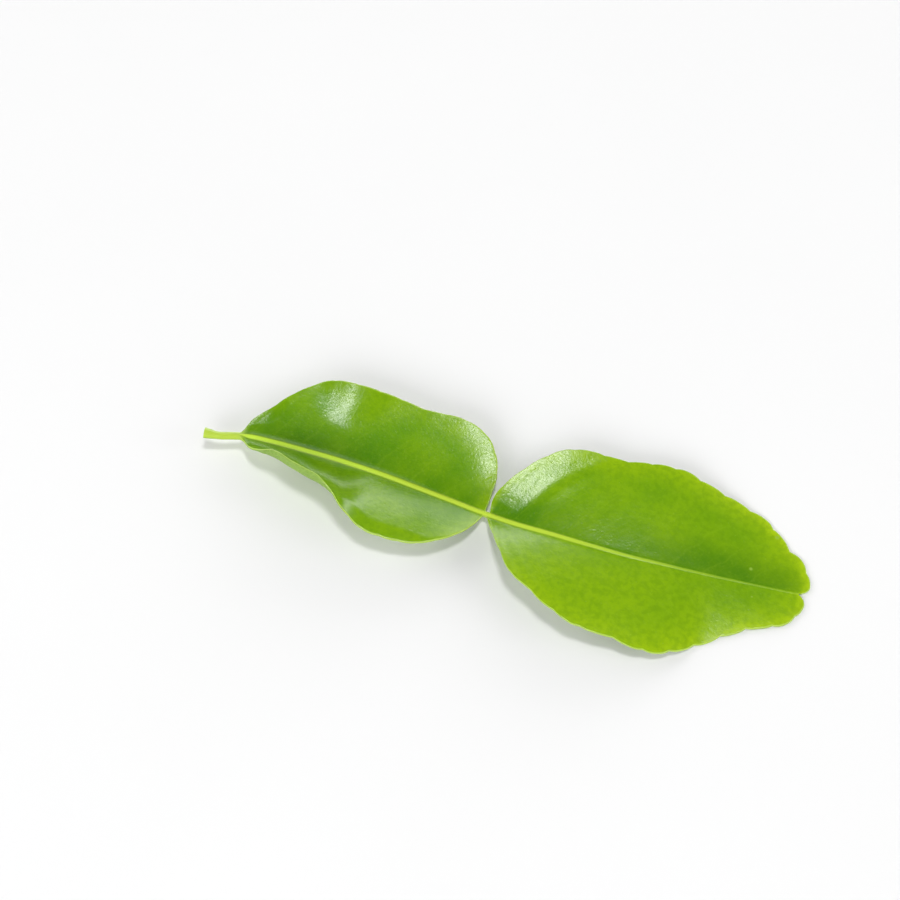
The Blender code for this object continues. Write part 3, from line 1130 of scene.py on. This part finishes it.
@dataclass(frozen=True)
class UpperFinish:
    """The glossy upper face, with its pale midrib, its margin line and the stalk.

    Fades run along the distances of the flat leaf. Distances across it are negative on the near half. Some
    colour is painted light: painted shade beside the midrib on the far half, painted light over the near
    half, a painted highlight along the margin line and at one pale spot by the tip, and painted shade on the
    near side of the stalk.
    """

    name: str = "leaf upper face"
    skin: Skin = Skin(
        patch_scale=95.0, fineness=1900.0, gland_spacing=0.0011, roughness=0.24, roughness_change=0.16,
        bump_strength=0.36, bump_depth=0.00016, refraction=1.45,
    )
    vein_width: float = 0.06
    wing_green: Colour = (0.118, 0.290, 0.0020, 1.0)
    blade_green: Colour = (0.165, 0.345, 0.0012, 1.0)
    blade_start: Fade = Fade(62.8, 63.2)
    deep_green: Colour = (0.058, 0.195, 0.0006, 1.0)
    # Painted shade: the far half is painted deep green beside the midrib, fading out 11 mm from it.
    painted_shade_beside_rib: Fade = Fade(1.0, 11.0, 1.0, 0.0)
    far_side: Fade = Fade(-0.6, 0.6)
    near_side: Fade = Fade(-0.6, 0.6, 1.0, 0.0)
    young_green: Colour = (0.310, 0.500, 0.002, 1.0)
    # Painted light: the near half is painted lighter from 9 mm off the midrib outwards.
    painted_light_near_half: Fade = Fade(-9.0, -1.0, 0.25, 0.0)
    young_margin: Fade = Fade(0.0, 7.5, 0.70, 0.0)
    young_margin_along: Fade = Fade(20.0, 80.0, 0.35, 1.0)
    wing_end: Fade = Fade(52.0, 66.0, 1.0, 0.0)
    near_wing_margin: Fade = Fade(0.0, 1.0, 1.0, 0.2)
    tip_green: Colour = (0.420, 0.600, 0.006, 1.0)
    tip_margin: Fade = Fade(0.2, 2.4, 0.75, 0.0)
    tip_start: Fade = Fade(90.0, 125.0)
    patch_strength: float = 0.32
    speck_strength: float = 0.29
    vein_green: Colour = (0.260, 0.440, 0.020, 1.0)
    vein_strength: float = 0.12
    net_strength: float = 0.05
    net_relief: float = 0.03
    gland_strength: float = 0.10
    rib_base_green: Colour = (0.560, 0.820, 0.045, 1.0)
    rib_green: Colour = (0.480, 0.665, 0.030, 1.0)
    rib_green_start: Fade = Fade(26.0, 50.0)
    rib_blade_green: Colour = (0.430, 0.660, 0.008, 1.0)
    rib_blade_green_start: Fade = Fade(66.0, 108.0)
    rib_width: Fade = Fade(60.0, 124.0, 0.56, 0.22)
    rib_edge: Fade = Fade(0.55, 1.25, 1.0, 0.0)
    rib_end: Fade = Fade(64.0, 126.0, 1.0, 0.25)
    rib_side: Colour = (0.240, 0.330, 0.008, 1.0)
    rib_side_edge: Fade = Fade(1.0, 1.6, 0.45, 0.0)
    rib_side_end: Fade = Fade(64.0, 126.0, 1.0, 0.0)
    # The stalk is painted paler on its far side, partly as a painted highlight, and greener on its near side
    # as painted shade.
    stalk_green: Colour = (0.470, 0.640, 0.110, 1.0)
    stalk_painted_shade_green: Colour = (0.420, 0.580, 0.035, 1.0)
    stalk_turn: Fade = Fade(-0.7, 0.6)
    stalk_end: Fade = Fade(6.5, 9.5, 1.0, 0.0)
    # The pale margin line is partly the edge's own paler colour and partly a painted highlight along the
    # edge.
    pale_rim_and_highlight: Colour = (0.430, 0.600, 0.100, 1.0)
    rim_edge: Fade = Fade(0.08, 0.42, 0.8, 0.0)
    # Pale spots near the tip; the one at 123.3 mm along and 12.4 mm across is a painted highlight on a bulge
    # of the margin.
    pale_spot_and_highlight: Colour = (0.300, 0.480, 0.060, 1.0)
    pale_spot_edge: Fade = Fade(0.4, 1.8, 0.7, 0.0)
    pale_spots: tuple[PaleSpot, ...] = (PaleSpot(119.0, 3.5, 0.30), PaleSpot(123.3, 12.4, 0.35), PaleSpot(120.0, -2.8, 0.18))
    dull_strength: float = 0.38
    dull_beside_rib: Fade = Fade(0.7, 1.8, 0.6, 0.0)
    dull_end: Fade = Fade(30.0, 60.0, 1.0, 0.0)

    def pale_spot(self, sketch: Tree, along: Socket, across: Socket, pale_spot: PaleSpot) -> Socket:
        """Give the share of one pale spot in the colour.

        Args:
            sketch: Tree of the material.
            along: Distance along the leaf.
            across: Distance across it.
            pale_spot: The spot.

        Returns:
            The share.
        """
        offsets = (sketch.maths("SUBTRACT", along, pale_spot.along), sketch.maths("SUBTRACT", across, pale_spot.across))
        squares = [sketch.maths("POWER", sketch.maths("ABSOLUTE", offset), 2.0) for offset in offsets]
        distance = sketch.maths("SQRT", sketch.maths("ADD", *squares))
        return sketch.fade(distance, self.pale_spot_edge.spread(pale_spot.radius))

    def build(self, effects: LeafEffects) -> bpy.types.Material:
        """Build the material.

        Args:
            effects: Node groups of the leaf.

        Returns:
            The material.
        """
        sketch = SkinTree(self.name, self.skin, effects)
        mottle, grain, veins = sketch.mottle, sketch.grain, sketch.side_veins(self.vein_width)
        along, across, margin = sketch.mark("along"), sketch.mark("across"), sketch.mark("margin")
        off_rib = sketch.maths("ABSOLUTE", across)
        in_ribs = sketch.maths("DIVIDE", off_rib, sketch.fade(along, self.rib_width))

        near_wing = sketch.fades((across, self.near_side), (along, self.wing_end))
        young_margin = sketch.times(
            sketch.fades((margin, self.young_margin), (along, self.young_margin_along)),
            sketch.fade(near_wing, self.near_wing_margin),
        )
        net = sketch.times(veins["Net"], self.net_strength)
        rib = sketch.fades((in_ribs, self.rib_edge), (along, self.rib_end))
        rib_side = sketch.fades((in_ribs, self.rib_side_edge), (along, self.rib_side_end))
        rib_colour = sketch.layers(
            self.rib_base_green,
            (sketch.fade(along, self.rib_green_start), self.rib_green),
            (sketch.fade(along, self.rib_blade_green_start), self.rib_blade_green),
        )
        # stalk with painted shade on its near side and a paler, partly highlighted far side
        stalk_with_painted_shade = sketch.blend(
            sketch.fade(across, self.stalk_turn), self.stalk_painted_shade_green, self.stalk_green)
        colour = sketch.layers(
            self.wing_green,
            (sketch.fade(along, self.blade_start), self.blade_green),
            # painted shade beside the midrib on the far half
            (sketch.fades((off_rib, self.painted_shade_beside_rib), (across, self.far_side)), self.deep_green),
            # painted light over the near half
            (sketch.fade(across, self.painted_light_near_half), self.young_green),
            (young_margin, self.young_green),
            (sketch.fades((margin, self.tip_margin), (along, self.tip_start)), self.tip_green),
            (sketch.times(mottle["Patches"], self.patch_strength), self.young_green),
            (sketch.times(mottle["Specks"], self.speck_strength), self.deep_green),
            (sketch.maths("MULTIPLY_ADD", veins["Veins"], self.vein_strength, net), self.vein_green),
            (sketch.times(grain["Glands"], self.gland_strength), self.vein_green),
            # pale spots, one of them a painted highlight
            *[(self.pale_spot(sketch, along, across, pale_spot), self.pale_spot_and_highlight) for pale_spot in self.pale_spots],
            # pale margin line, partly a painted highlight
            (sketch.fade(margin, self.rim_edge), self.pale_rim_and_highlight),
            (rib_side, self.rib_side),
            (rib, rib_colour),
            (sketch.fade(along, self.stalk_end), stalk_with_painted_shade),
        )

        beside = sketch.fades((off_rib, self.dull_beside_rib), (along, self.dull_end))
        dull = sketch.maths("MAXIMUM", sketch.maths("MAXIMUM", rib, rib_side), beside)
        roughness = sketch.maths("MULTIPLY_ADD", dull, self.dull_strength, sketch.worn())
        relief = sketch.maths("MULTIPLY_ADD", veins["Net"], self.net_relief, grain["Height"])
        return sketch.finish(colour, roughness, relief)


@dataclass(frozen=True)
class UnderFinish:
    """The paler, duller under face, with raised pale veins."""

    name: str = "leaf under face"
    skin: Skin = Skin(
        patch_scale=110.0, fineness=2400.0, gland_spacing=0.0010, roughness=0.55, roughness_change=0.14,
        bump_strength=0.45, bump_depth=0.00015, refraction=1.4,
    )
    vein_width: float = 0.10
    green: Colour = (0.235, 0.395, 0.050, 1.0)
    deep_green: Colour = (0.180, 0.325, 0.034, 1.0)
    patch_strength: float = 0.5
    gland_strength: float = 0.25
    vein_green: Colour = (0.400, 0.560, 0.110, 1.0)
    vein_strength: float = 0.6
    vein_relief: float = 0.9
    net_strength: float = 0.22
    net_relief: float = 0.6
    rib_green: Colour = (0.420, 0.580, 0.120, 1.0)
    rib_width: Fade = Fade(60.0, 124.0, 0.70, 0.26)
    rib_edge: Fade = Fade(0.8, 1.3, 1.0, 0.0)
    stalk_green: Colour = (0.400, 0.560, 0.080, 1.0)
    stalk_end: Fade = Fade(6.5, 9.5, 1.0, 0.0)

    def build(self, effects: LeafEffects) -> bpy.types.Material:
        """Build the material.

        Args:
            effects: Node groups of the leaf.

        Returns:
            The material.
        """
        sketch = SkinTree(self.name, self.skin, effects)
        veins, along = sketch.side_veins(self.vein_width), sketch.mark("along")
        off_rib = sketch.maths("ABSOLUTE", sketch.mark("across"))
        in_ribs = sketch.maths("DIVIDE", off_rib, sketch.fade(along, self.rib_width))

        net = sketch.times(veins["Net"], self.net_strength)
        colour = sketch.layers(
            self.green,
            (sketch.times(sketch.mottle["Patches"], self.patch_strength), self.deep_green),
            (sketch.maths("MULTIPLY_ADD", veins["Veins"], self.vein_strength, net), self.vein_green),
            (sketch.times(sketch.grain["Glands"], self.gland_strength), self.deep_green),
            (sketch.fade(in_ribs, self.rib_edge), self.rib_green),
            (sketch.fade(along, self.stalk_end), self.stalk_green),
        )

        raised = sketch.maths("MULTIPLY_ADD", veins["Veins"], self.vein_relief, sketch.grain["Height"])
        relief = sketch.maths("MULTIPLY_ADD", veins["Net"], self.net_relief, raised)
        return sketch.finish(colour, sketch.worn(), relief)


@dataclass(frozen=True)
class CutFinish:
    """The cut end of the stalk: a pale core inside a green skin."""

    name: str = "stalk cut end"
    skin: Skin = Skin(
        patch_scale=900.0, fineness=5200.0, gland_spacing=0.0004, roughness=0.6, roughness_change=0.2,
        bump_strength=0.5, bump_depth=0.0001, refraction=1.5,
    )
    core: Colour = (0.560, 0.600, 0.260, 1.0)
    edge: Colour = (0.360, 0.420, 0.080, 1.0)

    def build(self, effects: LeafEffects) -> bpy.types.Material:
        """Build the material.

        Args:
            effects: Node groups of the leaf.

        Returns:
            The material.
        """
        sketch = SkinTree(self.name, self.skin, effects)
        colour = sketch.blend(sketch.mottle["Patches"], self.core, self.edge)
        return sketch.finish(colour, sketch.worn(), sketch.grain["Height"])


# Pieces

class Face(Enum):
    """Faces of the leaf, each with the number of its material."""

    UPPER = 0
    UNDER = 1
    CUT = 2


@dataclass
class KaffirLimeLeaf:
    """The dressed leaf: stalk, winged petiole, blade and midrib in one closed skin."""

    form: LeafForm = LeafForm()
    upper_finish: UpperFinish = UpperFinish()
    under_finish: UnderFinish = UnderFinish()
    cut_finish: CutFinish = CutFinish()
    name: str = "kaffir_lime_leaf"
    slab_height: float = 0.1
    slab_digits: int = 5
    cut_end: float = 0.01
    crisp_angle: float = 70.0

    def build(self, effects: LeafEffects) -> bpy.types.Object:
        """Build the leaf and dress it.

        Args:
            effects: Node groups of the leaf.

        Returns:
            The finished piece.
        """
        sheet = self.form.sheet()
        leaf = self.slab(*sheet.upper.shape[:2])
        upper = self.shape(leaf, sheet)
        self.dress(leaf, upper, effects)
        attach(leaf, "root")
        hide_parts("leaf")
        return leaf

    def slab(self, rows: int, columns: int) -> bpy.types.Object:
        """Make a flat slab with one grid point for each point of the sheet.

        Args:
            rows: Rows from the stalk to the tip.
            columns: Columns from the near margin to the far one.

        Returns:
            The slab.
        """
        bpy.ops.object.select_all(action="DESELECT")
        bpy.ops.mesh.primitive_grid_add(x_subdivisions=rows - 1, y_subdivisions=columns - 1, size=1.0)
        leaf = bpy.context.object
        leaf.name = self.name
        leaf.data.name = self.name
        bpy.ops.object.mode_set(mode="EDIT")
        bpy.ops.mesh.select_all(action="SELECT")
        bpy.ops.mesh.extrude_region_move(TRANSFORM_OT_translate={"value": (0.0, 0.0, self.slab_height)})
        bpy.ops.object.mode_set(mode="OBJECT")
        return leaf

    def shape(self, leaf: bpy.types.Object, sheet: Sheet) -> np.ndarray:
        """Move each point of the slab to its place on the leaf, and write the marks on the mesh.

        Args:
            leaf: The slab.
            sheet: Sheet of the leaf.

        Returns:
            Which points lie on the upper face.
        """
        mesh = leaf.data
        points = np.zeros(len(mesh.vertices) * 3)
        mesh.vertices.foreach_get("co", points)
        points = points.reshape(-1, 3).round(self.slab_digits)
        row = np.unique(points[:, 0], return_inverse=True)[1]
        column = np.unique(points[:, 1], return_inverse=True)[1]
        upper = points[:, 2] > self.slab_height / 2
        placed = np.where(upper[:, None], sheet.upper[row, column], sheet.lower[row, column]) * MM
        mesh.vertices.foreach_set("co", placed.ravel())
        for name, grid in sheet.marks.items():
            mark = mesh.attributes.new(name, "FLOAT", "POINT")
            mark.data.foreach_set("value", grid[row, column].astype(np.float32))
        mesh.update()
        return upper

    def dress(self, leaf: bpy.types.Object, upper: np.ndarray, effects: LeafEffects) -> None:
        """Give the leaf its materials and its smooth shading.

        Args:
            leaf: The shaped leaf, which has only four-cornered faces.
            upper: Which points lie on the upper face.
            effects: Node groups of the leaf.
        """
        mesh = leaf.data
        for finish in (self.upper_finish, self.under_finish, self.cut_finish):
            mesh.materials.append(finish.build(effects))
        corners = np.zeros(len(mesh.loops), dtype=np.int32)
        mesh.loops.foreach_get("vertex_index", corners)
        corners = corners.reshape(-1, 4)
        along = np.zeros(len(mesh.vertices), dtype=np.float32)
        mesh.attributes["along"].data.foreach_get("value", along)
        face = np.where(upper[corners].any(axis=1), Face.UPPER.value, Face.UNDER.value)
        face[(along[corners] < self.cut_end).all(axis=1)] = Face.CUT.value
        mesh.polygons.foreach_set("material_index", face.astype(np.int32))
        bpy.ops.object.select_all(action="DESELECT")
        leaf.select_set(True)
        bpy.context.view_layer.objects.active = leaf
        bpy.ops.object.shade_smooth_by_angle(angle=math.radians(self.crisp_angle))


# Studio

def hang(name: str, data: bpy.types.ID, place: Place, back: Vector) -> bpy.types.Object:
    """Hang a lamp or the camera in the studio.

    Args:
        name: Its name.
        data: Lamp or camera.
        place: Where it hangs.
        back: Direction opposite to the one in which it looks.

    Returns:
        Its object.
    """
    item = bpy.data.objects.new(name, data)
    item.location = place
    item.rotation_euler = back.to_track_quat("Z", "Y").to_euler()
    bpy.context.collection.objects.link(item)
    return item


@dataclass(frozen=True)
class FloorFinish:
    """Plain pale floor with a barely uneven tone."""

    name: str = "pale floor"
    colour: Colour = (0.87, 0.87, 0.87, 1.0)
    shade: Colour = (0.85, 0.85, 0.85, 1.0)
    tone_scale: float = 14.0
    tone_detail: float = 2.0
    roughness: float = 0.7

    def build(self) -> bpy.types.Material:
        """Build the material.

        Returns:
            The material.
        """
        sketch = MaterialTree(self.name)
        tone = sketch.noise(sketch.place, self.tone_scale, self.tone_detail)
        colour = sketch.blend(tone, self.colour, self.shade)
        sketch.fill(sketch.shader, Base_Color=colour, Roughness=self.roughness)
        return sketch.material


@dataclass(frozen=True)
class Lamp:
    """A soft lamp with a flat face, turned towards the leaf."""

    name: str
    place: Place
    size: tuple[float, float]
    power: float

    def build(self) -> None:
        """Hang the lamp."""
        data = bpy.data.lights.new(self.name, "AREA")
        data.shape = "RECTANGLE"
        data.size, data.size_y = self.size
        data.energy = self.power
        hang(self.name, data, self.place, Vector(self.place))


@dataclass
class Studio:
    """Floor, lights, surroundings and camera. The camera's place and view are those of the photo."""

    floor_size: float = 2.5
    floor_finish: FloorFinish = FloorFinish()
    lamps: tuple[Lamp, ...] = (
        Lamp("overhead lamp", (0.10, 0.075, 1.50), (0.30, 0.30), 7.9),
        Lamp("front lamp", (-0.20, -1.30, 0.85), (1.40, 0.70), 11.0),
        Lamp("back panel", (-0.15, 1.80, 0.345), (2.20, 0.76), 13.7),
        Lamp("left lamp", (-1.40, 0.10, 0.60), (1.00, 0.60), 7.0),
        Lamp("right lamp", (1.40, 0.10, 0.60), (1.00, 0.60), 7.0),
    )
    horizon: Colour = (1.0, 1.0, 1.0, 1.0)
    sky: Fade = Fade(0.34, 0.74, 0.95, 0.03)
    camera_place: Place = (0.0608, -0.2199, 0.3782)
    camera_azimuth: float = 18.0
    camera_elevation: float = 57.0
    lens: float = 85.0

    def build(self) -> None:
        """Build all of it."""
        self.build_floor()
        for lamp in self.lamps:
            lamp.build()
        self.build_surroundings()
        self.build_camera()

    def build_floor(self) -> None:
        """Lay the floor at height 0."""
        bpy.ops.object.select_all(action="DESELECT")
        bpy.ops.mesh.primitive_plane_add(size=self.floor_size)
        floor = bpy.context.object
        floor.name = "floor"
        floor.data.materials.append(self.floor_finish.build())

    def build_surroundings(self) -> None:
        """Surround the floor with a bright horizon under a dim ceiling."""
        world = bpy.data.worlds.new("studio")
        world.use_nodes = True
        bpy.context.scene.world = world
        sketch = Tree(world.node_tree)
        split = sketch.add("ShaderNodeSeparateXYZ")
        sketch.fill(split, Vector=sketch.add("ShaderNodeTexCoord").outputs["Generated"])
        background = world.node_tree.nodes["Background"]
        sketch.fill(background, Color=self.horizon, Strength=sketch.fade(split.outputs["Z"], self.sky))

    def build_camera(self) -> None:
        """Set up the camera at the viewing angle of the photo."""
        azimuth, elevation = math.radians(self.camera_azimuth), math.radians(self.camera_elevation)
        back = Vector((
            math.sin(azimuth) * math.cos(elevation),
            -math.cos(azimuth) * math.cos(elevation),
            math.sin(elevation),
        ))
        data = bpy.data.cameras.new("camera")
        data.lens = self.lens
        bpy.context.scene.camera = hang("camera", data, self.camera_place, back)


def main() -> None:
    """Build the leaf and the studio."""
    logging.basicConfig(level=logging.INFO, format="%(message)s")
    leaf = KaffirLimeLeaf().build(LeafEffects.build())
    LOG.info("%s: %d faces", leaf.name, len(leaf.data.polygons))
    Studio().build()
    bpy.context.scene.view_settings.view_transform = "Standard"


if __name__ == "__main__":
    main()
